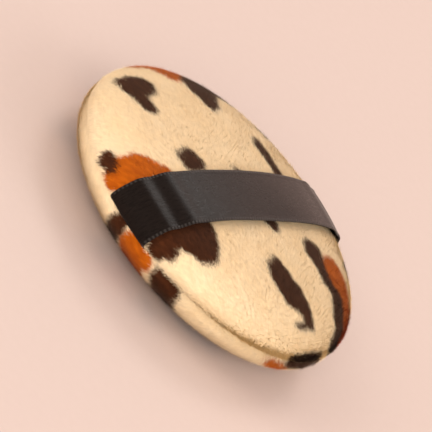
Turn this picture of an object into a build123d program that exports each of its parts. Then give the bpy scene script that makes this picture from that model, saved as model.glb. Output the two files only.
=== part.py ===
from build123d import *

import os
from math import pi

# Round plush powder puff with a ribbon finger strap. Millimetres, +Z up through the
# puff's thickness, +X along the ribbon, origin at the bottom centre of the puff.

# ---- driving dimensions ----------------------------------------------------------
PUFF_DIAMETER = 90.0
PUFF_THICKNESS = 24.0
FLAT_RADIUS = 18.0          # middle of each face, level enough to lie on
COVER_THICKNESS = 2.5       # knitted backing and pile together
LIP_RADIUS = 0.9            # rounded fold of the fabric beside the seam
ALLOWANCE_WIDTH = 5.0       # seam allowance, turned inwards
ALLOWANCE_THICKNESS = 1.0
FILLING_CLEARANCE = 0.2

RIBBON_WIDTH = 15.0         # a stocked width of satin ribbon
RIBBON_THICKNESS = 0.4
RIBBON_REST_GAP = 1.3       # under the ribbon in the middle of the face
RIBBON_SIDE_GAP = 1.2       # between the ribbon and the puff's side
RIBBON_STRAIGHT_HALF = 16.0  # the ribbon runs level this far from the middle
MIDDLE_HALF_LENGTH = 30.0   # the stretch of ribbon that fingers lift
MIDDLE_END_GAP = 0.1
FLANK_FOOT_HEIGHT = 1.6     # the flanks start this far above the seam
TAIL_LIP_HEIGHT = 0.5
TAIL_CAUGHT_LENGTH = 5.0    # ribbon end caught between the two covers
RECESS_CLEARANCE = 0.1

STITCH_PITCH = 2.8
STITCH_LENGTH = 2.3
STITCH_WIDTH = 0.4
STITCH_THICKNESS = 0.3
STITCH_INSET = 3.2          # seam line, measured in from the puff's edge
BACK_STITCH_INSET = 4.3     # second row, over each ribbon end
BACK_STITCH_COUNT = 5
TURNING_GAP_ANGLE = 44.0    # part of the seam that is closed by hand
TURNING_GAP_CENTRE = 90.0
LADDER_PITCH_ANGLE = 3.6
LADDER_RADIUS = 0.13
LADDER_HEIGHT = 0.5
LADDER_INSET = 0.16

# ---- sizes worked out from them --------------------------------------------------
puff_radius = PUFF_DIAMETER / 2
half_thickness = PUFF_THICKNESS / 2
seam_height = half_thickness
side_x_radius = puff_radius - FLAT_RADIUS
side_z_radius = half_thickness - LIP_RADIUS
inner_x_radius = side_x_radius - COVER_THICKNESS
inner_top = half_thickness - COVER_THICKNESS
inner_z_radius = inner_top - ALLOWANCE_THICKNESS
seam_plane = Plane.XY.offset(seam_height)
upper_section = Plane((0, 0, seam_height), x_dir=(1, 0, 0), z_dir=(0, -1, 0))

os.makedirs("parts", exist_ok=True)


def save(piece, name):
    """Label a finished piece and write it as one STEP file."""
    piece.label = name
    export_step(piece, f"parts/{name}.step")


# ---- the two plush covers, each a dome with its seam allowance turned in ---------
with BuildPart() as dome:
    with BuildSketch(upper_section):
        with BuildLine():
            Line((0, half_thickness), (FLAT_RADIUS, half_thickness))
            EllipticalCenterArc(
                (FLAT_RADIUS, LIP_RADIUS), side_x_radius, side_z_radius, arc_size=90
            )
            CenterArc((puff_radius - LIP_RADIUS, LIP_RADIUS), LIP_RADIUS, -90, 90)
            Line((puff_radius - LIP_RADIUS, 0), (puff_radius - ALLOWANCE_WIDTH, 0))
            Line(
                (puff_radius - ALLOWANCE_WIDTH, 0),
                (puff_radius - ALLOWANCE_WIDTH, ALLOWANCE_THICKNESS),
            )
            Line(
                (puff_radius - ALLOWANCE_WIDTH, ALLOWANCE_THICKNESS),
                (puff_radius - COVER_THICKNESS, ALLOWANCE_THICKNESS),
            )
            EllipticalCenterArc(
                (FLAT_RADIUS, ALLOWANCE_THICKNESS),
                inner_x_radius,
                inner_z_radius,
                arc_size=90,
            )
            Line((FLAT_RADIUS, inner_top), (0, inner_top))
            Line((0, inner_top), (0, half_thickness))
        make_face()
    revolve(axis=Axis.Z)

with BuildPart() as lower_cover:
    add(dome.part)
    mirror(about=seam_plane, mode=Mode.REPLACE)
save(lower_cover.part, "lower_cover")

# The ribbon ends press a shallow recess into the upper cover's seam allowance.
with BuildPart() as upper_cover:
    add(dome.part)
    with BuildSketch(seam_plane):
        with Locations((-puff_radius, 0), (puff_radius, 0)):
            Rectangle(
                2 * (TAIL_CAUGHT_LENGTH + RECESS_CLEARANCE), RIBBON_WIDTH + 2 * RECESS_CLEARANCE
            )
    extrude(amount=RIBBON_THICKNESS, mode=Mode.SUBTRACT)
save(upper_cover.part, "upper_cover")

# ---- the fibre filling, pinched at the equator by the seam allowances ------------
filling_x_radius = inner_x_radius - FILLING_CLEARANCE
filling_top = inner_top - FILLING_CLEARANCE
pinch_height = ALLOWANCE_THICKNESS + 2 * STITCH_THICKNESS
pinch_radius = puff_radius - ALLOWANCE_WIDTH - FILLING_CLEARANCE

with BuildPart() as fibre_filling:
    with BuildSketch(upper_section):
        with BuildLine():
            Line((0, 0), (0, filling_top))
            Line((0, filling_top), (FLAT_RADIUS, filling_top))
            EllipticalCenterArc(
                (FLAT_RADIUS, ALLOWANCE_THICKNESS),
                filling_x_radius,
                filling_top - ALLOWANCE_THICKNESS,
                arc_size=90,
            )
            Line((FLAT_RADIUS + filling_x_radius, ALLOWANCE_THICKNESS), (pinch_radius, 0))
            Line((pinch_radius, 0), (0, 0))
        make_face()
        with Locations((pinch_radius, 0)):
            Rectangle(
                ALLOWANCE_WIDTH, pinch_height, align=(Align.MIN, Align.MIN), mode=Mode.SUBTRACT
            )
    revolve(axis=Axis.Z)
    mirror(about=seam_plane)
save(fibre_filling.part, "fibre_filling")

# ---- the ribbon: one band over the upper face, cut where it moves ----------------
band_inner_top = half_thickness + RIBBON_REST_GAP
band_inner_side = puff_radius + RIBBON_SIDE_GAP - RIBBON_STRAIGHT_HALF


def band_edge(grow):
    """Half outline of the band in the section plane, grown outwards by a distance."""
    top = band_inner_top + grow
    with BuildLine() as edge:
        Line((0, 0), (0, top))
        Line((0, top), (RIBBON_STRAIGHT_HALF, top))
        EllipticalCenterArc(
            (RIBBON_STRAIGHT_HALF, 0), band_inner_side + grow, top, arc_size=90
        )
        Line((RIBBON_STRAIGHT_HALF + band_inner_side + grow, 0), (0, 0))
    return edge


with BuildPart() as half_band:
    with BuildSketch(upper_section):
        add(band_edge(RIBBON_THICKNESS).line)
        make_face()
        with BuildSketch(mode=Mode.SUBTRACT):
            add(band_edge(0).line)
            make_face()
    extrude(amount=RIBBON_WIDTH / 2, both=True)

with BuildPart() as ribbon_middle:
    add(half_band.part)
    split(bisect_by=Plane.YZ.offset(MIDDLE_HALF_LENGTH), keep=Keep.BOTTOM)
    mirror(about=Plane.YZ)
save(ribbon_middle.part, "ribbon_middle")

with BuildPart() as right_flank:
    add(half_band.part)
    split(bisect_by=Plane.YZ.offset(MIDDLE_HALF_LENGTH + MIDDLE_END_GAP), keep=Keep.TOP)
    split(bisect_by=seam_plane.offset(FLANK_FOOT_HEIGHT), keep=Keep.TOP)
save(right_flank.part, "ribbon_right_flank")

with BuildPart() as left_flank:
    add(right_flank.part)
    mirror(about=Plane.YZ, mode=Mode.REPLACE)
save(left_flank.part, "ribbon_left_flank")

# Each end of the ribbon turns in at the seam and is caught between the two covers.
tail_end = puff_radius - TAIL_CAUGHT_LENGTH
tail_fold = RIBBON_STRAIGHT_HALF + band_inner_side + RIBBON_THICKNESS

with BuildPart() as right_tail:
    with BuildSketch(upper_section):
        with BuildLine():
            Polyline(
                (tail_end, 0),
                (tail_fold, 0),
                (tail_fold, TAIL_LIP_HEIGHT),
                (tail_fold - RIBBON_THICKNESS, TAIL_LIP_HEIGHT),
                (tail_fold - RIBBON_THICKNESS, RIBBON_THICKNESS),
                (tail_end, RIBBON_THICKNESS),
                close=True,
            )
        make_face()
    extrude(amount=RIBBON_WIDTH / 2, both=True)
save(right_tail.part, "ribbon_right_tail")

with BuildPart() as left_tail:
    add(right_tail.part)
    mirror(about=Plane.YZ, mode=Mode.REPLACE)
save(left_tail.part, "ribbon_left_tail")

# ---- the machine seam: one thread on each side of the two allowances -------------
stitch_radius = puff_radius - STITCH_INSET
sewn_angle = 360.0 - TURNING_GAP_ANGLE
sewn_start = TURNING_GAP_CENTRE + TURNING_GAP_ANGLE / 2
stitch_count = int(2 * pi * stitch_radius * sewn_angle / 360.0 / STITCH_PITCH)
allowance_top = seam_plane.offset(ALLOWANCE_THICKNESS)

with BuildPart() as seam_needle_thread:
    with BuildSketch(allowance_top):
        for stitch in range(stitch_count):
            angle = sewn_start + sewn_angle * (stitch + 0.5) / stitch_count
            with PolarLocations(stitch_radius, 1, start_angle=angle):
                SlotOverall(STITCH_LENGTH, STITCH_WIDTH, rotation=90)
    extrude(amount=STITCH_THICKNESS)
save(seam_needle_thread.part, "seam_needle_thread")

with BuildPart() as seam_bobbin_thread:
    add(seam_needle_thread.part)
    mirror(about=seam_plane, mode=Mode.REPLACE)
save(seam_bobbin_thread.part, "seam_bobbin_thread")

# A second short row of stitches holds each ribbon end.
back_stitch_pitch = RIBBON_WIDTH / BACK_STITCH_COUNT
for side, name in ((1, "right_back_stitches"), (-1, "left_back_stitches")):
    with BuildPart() as back_stitches:
        with BuildSketch(allowance_top):
            with Locations((side * (puff_radius - BACK_STITCH_INSET), 0)):
                with GridLocations(0, back_stitch_pitch, 1, BACK_STITCH_COUNT):
                    SlotOverall(STITCH_LENGTH, STITCH_WIDTH, rotation=90)
        extrude(amount=STITCH_THICKNESS)
    save(back_stitches.part, name)

# ---- hand-sewn ladder stitches that close the turning gap, deep in the groove ----
ladder_count = int(TURNING_GAP_ANGLE / LADDER_PITCH_ANGLE)

with BuildPart() as closing_stitches:
    with BuildSketch(seam_plane.offset(-LADDER_HEIGHT / 2)):
        for rung in range(ladder_count):
            angle = TURNING_GAP_CENTRE + LADDER_PITCH_ANGLE * (rung - (ladder_count - 1) / 2)
            with PolarLocations(puff_radius - LADDER_INSET, 1, start_angle=angle):
                Circle(LADDER_RADIUS)
    extrude(amount=LADDER_HEIGHT)
save(closing_stitches.part, "closing_stitches")
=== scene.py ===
"""A round plush powder puff with a satin ribbon finger strap, dressed around its CAD frame.

Sizes are in metres. The frame's origin is the bottom centre of the puff, +Z goes up through
its thickness and +X runs along the ribbon.
"""

import logging
import math
from dataclasses import dataclass, field
from enum import Enum
from typing import Mapping

import bpy
import numpy as np
from mathutils import Matrix, Vector, noise


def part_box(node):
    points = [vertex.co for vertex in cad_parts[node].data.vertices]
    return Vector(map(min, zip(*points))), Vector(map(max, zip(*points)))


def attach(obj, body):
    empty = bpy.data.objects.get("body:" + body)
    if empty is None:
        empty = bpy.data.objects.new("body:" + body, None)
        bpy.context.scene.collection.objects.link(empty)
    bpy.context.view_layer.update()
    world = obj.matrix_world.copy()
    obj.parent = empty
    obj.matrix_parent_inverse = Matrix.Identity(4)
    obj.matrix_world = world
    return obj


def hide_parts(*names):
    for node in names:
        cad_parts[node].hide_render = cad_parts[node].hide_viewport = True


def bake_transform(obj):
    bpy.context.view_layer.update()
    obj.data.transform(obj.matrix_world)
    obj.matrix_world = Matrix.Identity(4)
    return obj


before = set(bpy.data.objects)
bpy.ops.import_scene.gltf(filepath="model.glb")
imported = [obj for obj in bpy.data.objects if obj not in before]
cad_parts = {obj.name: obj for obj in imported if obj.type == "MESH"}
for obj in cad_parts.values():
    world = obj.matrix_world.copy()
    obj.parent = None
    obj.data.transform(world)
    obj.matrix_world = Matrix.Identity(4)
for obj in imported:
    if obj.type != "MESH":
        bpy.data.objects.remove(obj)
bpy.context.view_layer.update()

log = logging.getLogger("powder_puff")

MM = 0.001
CLOTH_MAP = "OFBake"    # flat map of one cover's cloth, which its colour noise reads
RIBBON_MAP = "ribbon"    # lengths along and across the ribbon
BROWN_AMOUNT = "brown_dye"
RUST_AMOUNT = "rust_dye"
HAIR_HEIGHT = "hair_height"
HAIR_SHADE = "hair_shade"
HAIR_POINTS = 5          # two at the foot, two at the bend and the tip
CAD_RIBBON_THICKNESS = 0.4 * MM
RIBBON_SINK = 0.25 * MM  # the soft ribbon's top lies this much lower than the CAD ribbon's
RIBBON_PULL = 0.8 * MM   # and its sides are pulled in this much closer to the puff


# ---------------------------------------------------------------------------------------
# Shader expressions
# ---------------------------------------------------------------------------------------


class Value:
    """One output socket that can be used in Python arithmetic."""

    def __init__(self, graph: "Graph", socket: bpy.types.NodeSocket) -> None:
        """Keep the socket and the graph that it belongs to."""
        self.graph = graph
        self.socket = socket

    def __add__(self, other: "Value | float") -> "Value":
        """Sum of two numbers."""
        return self.graph.math("ADD", self, other)

    __radd__ = __add__

    def __sub__(self, other: "Value | float") -> "Value":
        """Difference of two numbers."""
        return self.graph.math("SUBTRACT", self, other)

    def __rsub__(self, other: float) -> "Value":
        """Difference with the plain number first."""
        return self.graph.math("SUBTRACT", other, self)

    def __mul__(self, other: "Value | float") -> "Value":
        """Product of two numbers."""
        return self.graph.math("MULTIPLY", self, other)

    __rmul__ = __mul__

    def __pow__(self, other: float) -> "Value":
        """Power with a plain exponent."""
        return self.graph.math("POWER", self, other)


class Graph:
    """The node tree of one material, built from expressions."""

    def __init__(self, name: str) -> None:
        """Start an empty material.

        Args:
            name: The material's name.
        """
        self.material = bpy.data.materials.new(name)
        self.material.use_nodes = True
        self.tree = self.material.node_tree
        self.tree.nodes.clear()

    def node(
        self,
        kind: str,
        settings: Mapping[str, object] | None = None,
        sockets: Mapping[str | int, object] | None = None,
        output: str | int = 0,
    ) -> Value:
        """Add one node.

        Args:
            kind: The node's type, such as ShaderNodeTexNoise.
            settings: Its properties, which are set first.
            sockets: Plain values or links for its inputs.
            output: Which output to return.

        Returns:
            The chosen output.
        """
        made = self.tree.nodes.new(kind)
        for key, setting in (settings or {}).items():
            setattr(made, key, setting)
        for key, given in (sockets or {}).items():
            if isinstance(given, Value):
                self.tree.links.new(given.socket, made.inputs[key])
            else:
                made.inputs[key].default_value = given
        return Value(self, made.outputs[output])

    def math(self, operation: str, *terms: "Value | float") -> Value:
        """Add one Math node with its inputs in order."""
        return self.node("ShaderNodeMath", {"operation": operation}, dict(enumerate(terms)))

    def blend(
        self, first: "Value | tuple", second: "Value | tuple", share: "Value | float"
    ) -> Value:
        """Mix two colours.

        Args:
            first: The colour at share 0.
            second: The colour at share 1.
            share: The mixing factor.

        Returns:
            The mixed colour.
        """
        return self.node(
            "ShaderNodeMix", {"data_type": "RGBA"}, {0: share, 6: first, 7: second}, output=2
        )

    def dim(self, colour: Value, amount: Value) -> Value:
        """Scale a colour by a number."""
        return self.node(
            "ShaderNodeVectorMath", {"operation": "SCALE"}, {0: colour, "Scale": amount}
        )

    def amount(self, attribute: str) -> Value:
        """Read a number that is kept on the mesh."""
        return self.node("ShaderNodeAttribute", {"attribute_name": attribute}, output="Fac")

    def noise(self, where: Value, scale: float, detail: float = 2.0, roughness: float = 0.5) -> Value:
        """Fractal noise.

        Args:
            where: The place it is taken at.
            scale: Its coarsest scale.
            detail: How many finer scales are added.
            roughness: How strong the finer scales are.

        Returns:
            A number between 0 and 1.
        """
        return self.node(
            "ShaderNodeTexNoise",
            None,
            {"Vector": where, "Scale": scale, "Detail": detail, "Roughness": roughness},
        )

    def stretch(self, where: Value, scale: tuple[float, float, float]) -> Value:
        """Scale a place along its three axes."""
        return self.node("ShaderNodeMapping", None, {"Vector": where, "Scale": scale})

    def bump(self, height: Value, depth: float, strength: float) -> Value:
        """Turn a height into a bumped normal."""
        return self.node(
            "ShaderNodeBump", None, {"Height": height, "Distance": depth, "Strength": strength}
        )

    def finish(self, sockets: Mapping[str, object]) -> bpy.types.Material:
        """Add the surface shader and the output.

        Args:
            sockets: Values and links for the Principled shader.

        Returns:
            The finished material.
        """
        surface = self.node("ShaderNodeBsdfPrincipled", None, sockets)
        output = self.tree.nodes.new("ShaderNodeOutputMaterial")
        self.tree.links.new(surface.socket, output.inputs["Surface"])
        return self.material


# ---------------------------------------------------------------------------------------
# Finishes
# ---------------------------------------------------------------------------------------


@dataclass(frozen=True)
class PrintedPlush:
    """Short dense plush with a tortoiseshell print, with painted shade at the hair roots and on the
    backing between the hairs.
    """

    cream: tuple = (0.90, 0.70, 0.415, 1.0)
    pale_cream: tuple = (0.94, 0.79, 0.55, 1.0)
    rust: tuple = (0.31, 0.046, 0.002, 1.0)
    bright_rust: tuple = (0.70, 0.172, 0.006, 1.0)
    brown: tuple = (0.036, 0.0105, 0.0040, 1.0)
    warm_brown: tuple = (0.115, 0.034, 0.010, 1.0)
    mottle_scale: float = 9.0
    streak_scale: float = 75.0
    tuft_scale: float = 120.0
    tuft_depth: float = 0.36
    nap_turn: float = math.radians(62.0)
    streak_stretch: tuple = (0.4, 1.0, 1.0)
    tuft_stretch: tuple = (0.45, 1.0, 1.0)
    # painted shade: hairs are darker towards their roots, where the pile shades itself
    painted_root_shade: float = 0.90
    # painted shade: the backing seen between the hairs is darker, as if in the pile's shadow
    painted_backing_shade: float = 0.90
    roughness: float = 0.9
    gloss: float = 0.15
    sheen: float = 0.08
    sheen_roughness: float = 0.5
    sheen_tint: tuple = (1.0, 0.86, 0.66, 1.0)

    def material(self, name: str, hairy: bool) -> bpy.types.Material:
        """Build the material.

        Args:
            name: The material's name.
            hairy: True for the pile, whose hairs carry their height and shade.

        Returns:
            The material.
        """
        g = Graph(name)
        cloth = g.node("ShaderNodeUVMap", {"uv_map": CLOTH_MAP})
        mottle = g.noise(cloth, self.mottle_scale, 3.0)
        combed = g.node("ShaderNodeVectorRotate", None, {"Vector": cloth, "Angle": self.nap_turn})
        streak = g.noise(g.stretch(combed, self.streak_stretch), self.streak_scale, 2.0)
        tuft = g.noise(g.stretch(combed, self.tuft_stretch), self.tuft_scale, 2.0, 0.6)
        ground = g.blend(self.cream, self.pale_cream, mottle)
        rust = g.blend(self.rust, self.bright_rust, streak)
        brown = g.blend(self.brown, self.warm_brown, streak ** 2.0)
        dyed = g.blend(ground, rust, g.amount(RUST_AMOUNT))
        dyed = g.blend(dyed, brown, g.amount(BROWN_AMOUNT))
        if hairy:
            height = g.amount(HAIR_HEIGHT)
            # painted shade: each hair darkens from its tip down to its root
            light = (self.painted_root_shade + (1.0 - self.painted_root_shade) * height) * g.amount(HAIR_SHADE)
            light = light * (1.0 + self.tuft_depth * (tuft - 0.5))
        else:
            # painted shade on the backing, broken up by the streaks
            light = self.painted_backing_shade + (1.0 - self.painted_backing_shade) * streak
        return g.finish(
            {
                "Base Color": g.dim(dyed, light),
                "Roughness": self.roughness,
                "Specular IOR Level": self.gloss,
                "Sheen Weight": self.sheen,
                "Sheen Roughness": self.sheen_roughness,
                "Sheen Tint": self.sheen_tint,
            }
        )


@dataclass(frozen=True)
class SatinRibbon:
    """Black satin: fine warp threads along the ribbon and a soft grey sheen."""

    black: tuple = (0.0026, 0.0020, 0.0017, 1.0)
    worn_black: tuple = (0.013, 0.0085, 0.0068, 1.0)
    thread_stretch: tuple = (260.0, 1.0 / (0.14 * MM), 1.0)
    slub_stretch: tuple = (500.0, 1500.0, 1.0)
    patch_scale: float = 140.0
    thread_share: float = 0.35
    patch_share: float = 0.2
    wear: float = 1.6
    roughness: float = 0.30
    patch_roughness: float = 0.10
    slub_roughness: float = 0.36
    ior: float = 1.15
    gloss: float = 0.5
    sheen: float = 0.02
    sheen_roughness: float = 0.35
    sheen_tint: tuple = (0.80, 0.74, 0.70, 1.0)
    relief: float = 0.12 * MM
    relief_strength: float = 0.8
    width: float = 15.0 * MM
    selvedge: float = 0.65 * MM
    bead_pitch: float = 1.1 * MM
    # painted highlight: the corded edge's beads get a lighter black that stands for their glints; their
    # relief is real
    painted_bead_glint: tuple = (0.050, 0.045, 0.041, 1.0)
    painted_glint_share: float = 0.5
    bead_relief: float = 0.6

    def material(self) -> bpy.types.Material:
        """Build the material.

        Returns:
            The satin, for pieces that carry the ribbon's flat map.
        """
        g = Graph("satin_ribbon")
        strip = g.node("ShaderNodeUVMap", {"uv_map": RIBBON_MAP})
        threads = g.noise(g.stretch(strip, self.thread_stretch), 1.0, 2.0)
        slubs = g.noise(g.stretch(strip, self.slub_stretch), 1.0, 4.0, 0.7)
        patches = g.noise(strip, self.patch_scale, 2.0)
        weave = threads * self.thread_share + slubs * (1.0 - self.thread_share)
        along = g.node("ShaderNodeSeparateXYZ", None, {"Vector": strip}, output=0)
        across = g.node("ShaderNodeSeparateXYZ", None, {"Vector": strip}, output=1)
        from_middle = g.math("ABSOLUTE", across - self.width / 2)
        selvedge = g.math("GREATER_THAN", from_middle, self.width / 2 - self.selvedge)
        # beads along the corded edge: real relief, plus a lighter base colour that is a painted
        # highlight
        beads = selvedge * (g.math("SINE", along * (2 * math.pi / self.bead_pitch)) * 0.5 + 0.5)
        worn = weave ** 2.0 * self.wear + patches * self.patch_share
        black = g.blend(self.black, self.worn_black, worn)
        dull = self.patch_roughness * (patches - 0.5) + self.slub_roughness * (slubs - 0.5)
        return g.finish(
            {
                "Base Color": g.blend(black, self.painted_bead_glint, beads * self.painted_glint_share),
                "Roughness": self.roughness + dull,
                "IOR": self.ior,
                "Specular IOR Level": self.gloss,
                "Sheen Weight": self.sheen,
                "Sheen Roughness": self.sheen_roughness,
                "Sheen Tint": self.sheen_tint,
                "Normal": g.bump(
                    weave + beads * self.bead_relief, self.relief, self.relief_strength
                ),
            }
        )


@dataclass(frozen=True)
class GrainedFinish:
    """A surface whose two tones and fine relief follow one stretched grain."""

    name: str
    dark: tuple
    light: tuple
    grain_scale: float
    grain_detail: float
    relief: float
    relief_strength: float
    roughness: float
    grain_stretch: tuple = (1.0, 1.0, 1.0)
    grain_roughness: float = 0.5
    sheen: float = 0.0

    def material(self) -> bpy.types.Material:
        """Build the material.

        Returns:
            The material, which reads object coordinates.
        """
        g = Graph(self.name)
        place = g.node("ShaderNodeTexCoord", output="Object")
        grain = g.noise(
            g.stretch(place, self.grain_stretch),
            self.grain_scale,
            self.grain_detail,
            self.grain_roughness,
        )
        return g.finish(
            {
                "Base Color": g.blend(self.dark, self.light, grain),
                "Roughness": self.roughness,
                "Sheen Weight": self.sheen,
                "Normal": g.bump(grain, self.relief, self.relief_strength),
            }
        )


@dataclass(frozen=True)
class StapleFibre(GrainedFinish):
    """Loose white polyester fibre in fine tangled strands."""

    name: str = "staple_fibre"
    dark: tuple = (0.74, 0.74, 0.72, 1.0)
    light: tuple = (0.93, 0.93, 0.91, 1.0)
    grain_stretch: tuple = (1.0, 3.0, 2.0)
    grain_scale: float = 900.0
    grain_detail: float = 6.0
    grain_roughness: float = 0.75
    relief: float = 0.8 * MM
    relief_strength: float = 0.8
    roughness: float = 0.95
    sheen: float = 0.5


@dataclass(frozen=True)
class SewingThread(GrainedFinish):
    """Spun polyester thread with a fine twist."""

    name: str = "sewing_thread"
    dark: tuple = (0.60, 0.47, 0.31, 1.0)
    light: tuple = (0.80, 0.67, 0.48, 1.0)
    grain_stretch: tuple = (4.0, 4.0, 9.0)
    grain_scale: float = 1500.0
    grain_detail: float = 2.0
    relief: float = 0.06 * MM
    relief_strength: float = 0.6
    roughness: float = 0.65
    sheen: float = 0.3


@dataclass(frozen=True)
class StudioFloor(GrainedFinish):
    """Pale matt paper."""

    name: str = "studio_floor"
    dark: tuple = (0.555, 0.448, 0.402, 1.0)
    light: tuple = (0.575, 0.468, 0.422, 1.0)
    grain_scale: float = 400.0
    grain_detail: float = 4.0
    relief: float = 0.1 * MM
    relief_strength: float = 0.15
    roughness: float = 0.85


# ---------------------------------------------------------------------------------------
# The print
# ---------------------------------------------------------------------------------------


class Side(Enum):
    """The two covers."""

    UPPER = 1
    LOWER = -1

    @property
    def word(self) -> str:
        """The side's name in lower case."""
        return self.name.lower()


class Dye(Enum):
    """The print's two dyes on its cream ground."""

    BROWN = BROWN_AMOUNT
    RUST = RUST_AMOUNT


@dataclass(frozen=True)
class Lobe:
    """One oval of a spot, in millimetres on the flat cloth."""

    x: float
    y: float
    half_length: float
    half_width: float
    turn: float = 0.0

    def distance(self, places: np.ndarray) -> np.ndarray:
        """Rough signed distance from the oval's edge.

        Args:
            places: Places on the flat cloth, one row each.

        Returns:
            Millimetres outside the edge, negative inside.
        """
        angle = math.radians(self.turn)
        east = places[:, 0] - self.x
        north = places[:, 1] - self.y
        along = (east * math.cos(angle) + north * math.sin(angle)) / self.half_length
        across = (north * math.cos(angle) - east * math.sin(angle)) / self.half_width
        return (np.hypot(along, across) - 1.0) * min(self.half_length, self.half_width)


@dataclass(frozen=True)
class Spot:
    """A spot of one dye, made of ovals that run into each other."""

    dye: Dye
    lobes: tuple[Lobe, ...]
    melt: float = 1.6

    def distance(self, places: np.ndarray) -> np.ndarray:
        """Rough signed distance from the spot's edge, with the ovals melted together.

        Args:
            places: Places on the flat cloth, one row each.

        Returns:
            Millimetres outside the edge, negative inside.
        """
        nearest = self.lobes[0].distance(places)
        for lobe in self.lobes[1:]:
            other = lobe.distance(places)
            overlap = np.clip(0.5 + 0.5 * (other - nearest) / self.melt, 0.0, 1.0)
            nearest = other * (1 - overlap) + nearest * overlap
            nearest -= self.melt * overlap * (1 - overlap)
        return nearest


def brown(*lobes: tuple) -> Spot:
    """A brown spot from its ovals."""
    return Spot(Dye.BROWN, tuple(Lobe(*lobe) for lobe in lobes))


def rust(*lobes: tuple) -> Spot:
    """A rust patch from its ovals."""
    return Spot(Dye.RUST, tuple(Lobe(*lobe) for lobe in lobes))


# Each oval is x, y, half length, half width and turn in degrees. x runs along the ribbon.
UPPER_PRINT = (
    brown((-17, 33.8, 6.2, 4.3, -4), (-20.4, 32.5, 3.4, 4.2), (-20.4, 27, 2.6, 4.0, 4)),
    brown((11.4, 34, 6.4, 6.0, 10), (18.4, 36, 6.4, 4.0, -24), (9.8, 28.8, 3.6, 3.4),
          (25, 34, 4.4, 3, -36)),
    rust((3.4, 40.6, 6.2, 3.8, -8), (-3, 43.6, 6.4, 2.4, -4), (1.8, 37.8, 2.4, 2.2), (9, 42, 5.4, 3.0)),
    brown((20.4, 13.2, 3.0, 4.6), (20.9, 7.2, 2.3, 4.6)),
    brown((-18.4, 8.2, 4.8, 3.9, 4)),
    brown((0.3, 2.6, 2.7, 4.2), (0.8, -5, 2.3, 5), (2.0, -9.8, 2.5, 2.7)),
    brown((-43.8, 13, 2.0, 3.9, -12)),
    rust((-42.8, 7.6, 5.0, 5.2), (-37.2, 8.0, 5.8, 3.6, -28), (-32.6, 5.8, 4.2, 2.4, -24)),
    brown((-42.6, -12.5, 3.5, 5.4), (-37, -11, 5.0, 5.2), (-31.6, -14.6, 5.4, 6.6, -8),
          (-28.2, -11, 3.0, 4.2)),
    brown((-7.0, -26.8, 4.5, 6.8, 4), (-4.0, -31, 4.0, 5.0, 14), (-1.6, -35.2, 2.4, 3.8, 8),
          (-4.6, -38.8, 2.8, 1.2)),
    brown((15.6, -17.8, 4.2, 3.4), (15.4, -24, 2.7, 5.2, 4), (17.8, -31, 3.1, 4.6, 6),
          (15.6, -37, 3.5, 4.2), (12.6, -43, 3.3, 3.6)),
    rust((22.6, -25, 6.2, 6.2, -14), (23, -32, 4.2, 5.6, -16), (20, -39, 3.6, 5.6, -30),
         (15.6, -44, 3.8, 3.4)),
    brown((0.5, -47.3, 7.6, 1.9, 2)),
    brown((45, 8, 2.6, 5.8, -14), (43, 2, 2.6, 3.0)),
    rust((44, -7, 3.2, 5.8, 10)),
    brown((38.5, -22, 3.0, 4.8, 34), (41, -27, 2.6, 3.2)),
    brown((37, 26, 3.4, 5.2, 40), (33.5, 22, 2.6, 2.8)),
    rust((31, 37, 5.2, 2.6, -44)),
    brown((28, -38, 5.2, 2.8, 40)),
)

LOWER_PRINT = (
    brown((-45, -2.2, 6.0, 2.9, 6), (-38.5, -1.4, 4.2, 3.4)),
    rust((-45, -10.6, 5.4, 5.6), (-38.6, -10, 5.2, 4.6, 10), (-33, -7, 3.6, 3.0)),
    brown((-41.5, -21.4, 6.6, 4.1, -14), (-34.6, -20, 4.2, 4.6)),
    # painted reflection: this thin rust band at the lower cover's edge by the floor stands for orange
    # light reflected from the floor, not for print
    rust((-8, -44.6, 6.0, 2.2, 8)),
    brown((1, -47.4, 8.8, 1.9, 2), (8, -45, 4.2, 3.2)),
    brown((30, -36, 6.4, 3.8, 40), (25, -40, 3.6, 3.0)),
    rust((37, -29, 3.8, 5.6, 36)),
    brown((42, -8, 3.2, 6.4, 10), (39, -14, 3.0, 3.6)),
    brown((43, 15, 3.0, 5.4, -20)),
    rust((38, 24, 4.4, 5.6, -36), (33, 30, 4.0, 4.0)),
    brown((27, 35, 5.6, 3.6, -40), (22, 38, 3.4, 3.0)),
    brown((3, 44, 7.0, 3.0, 4), (9, 40, 3.6, 3.4)),
    rust((-4, 46.6, 5.0, 2.2)),
    brown((-24, 33, 5.6, 3.2, 40)),
    brown((-20, -22, 5.2, 7.2, 20), (-15, -29, 3.4, 4.4)),
    brown((12, -22, 6.4, 4.0, 30)),
    rust((16, -15, 5.4, 4.2, 20)),
    brown((20, 8, 4.2, 6.6, -12)),
    brown((-14, 12, 6.6, 4.2, 16), (-20, 8, 3.6, 3.6)),
    rust((-8, 18, 5.4, 3.8)),
    brown((4, 26, 5.4, 3.4, -20)),
)


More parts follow.
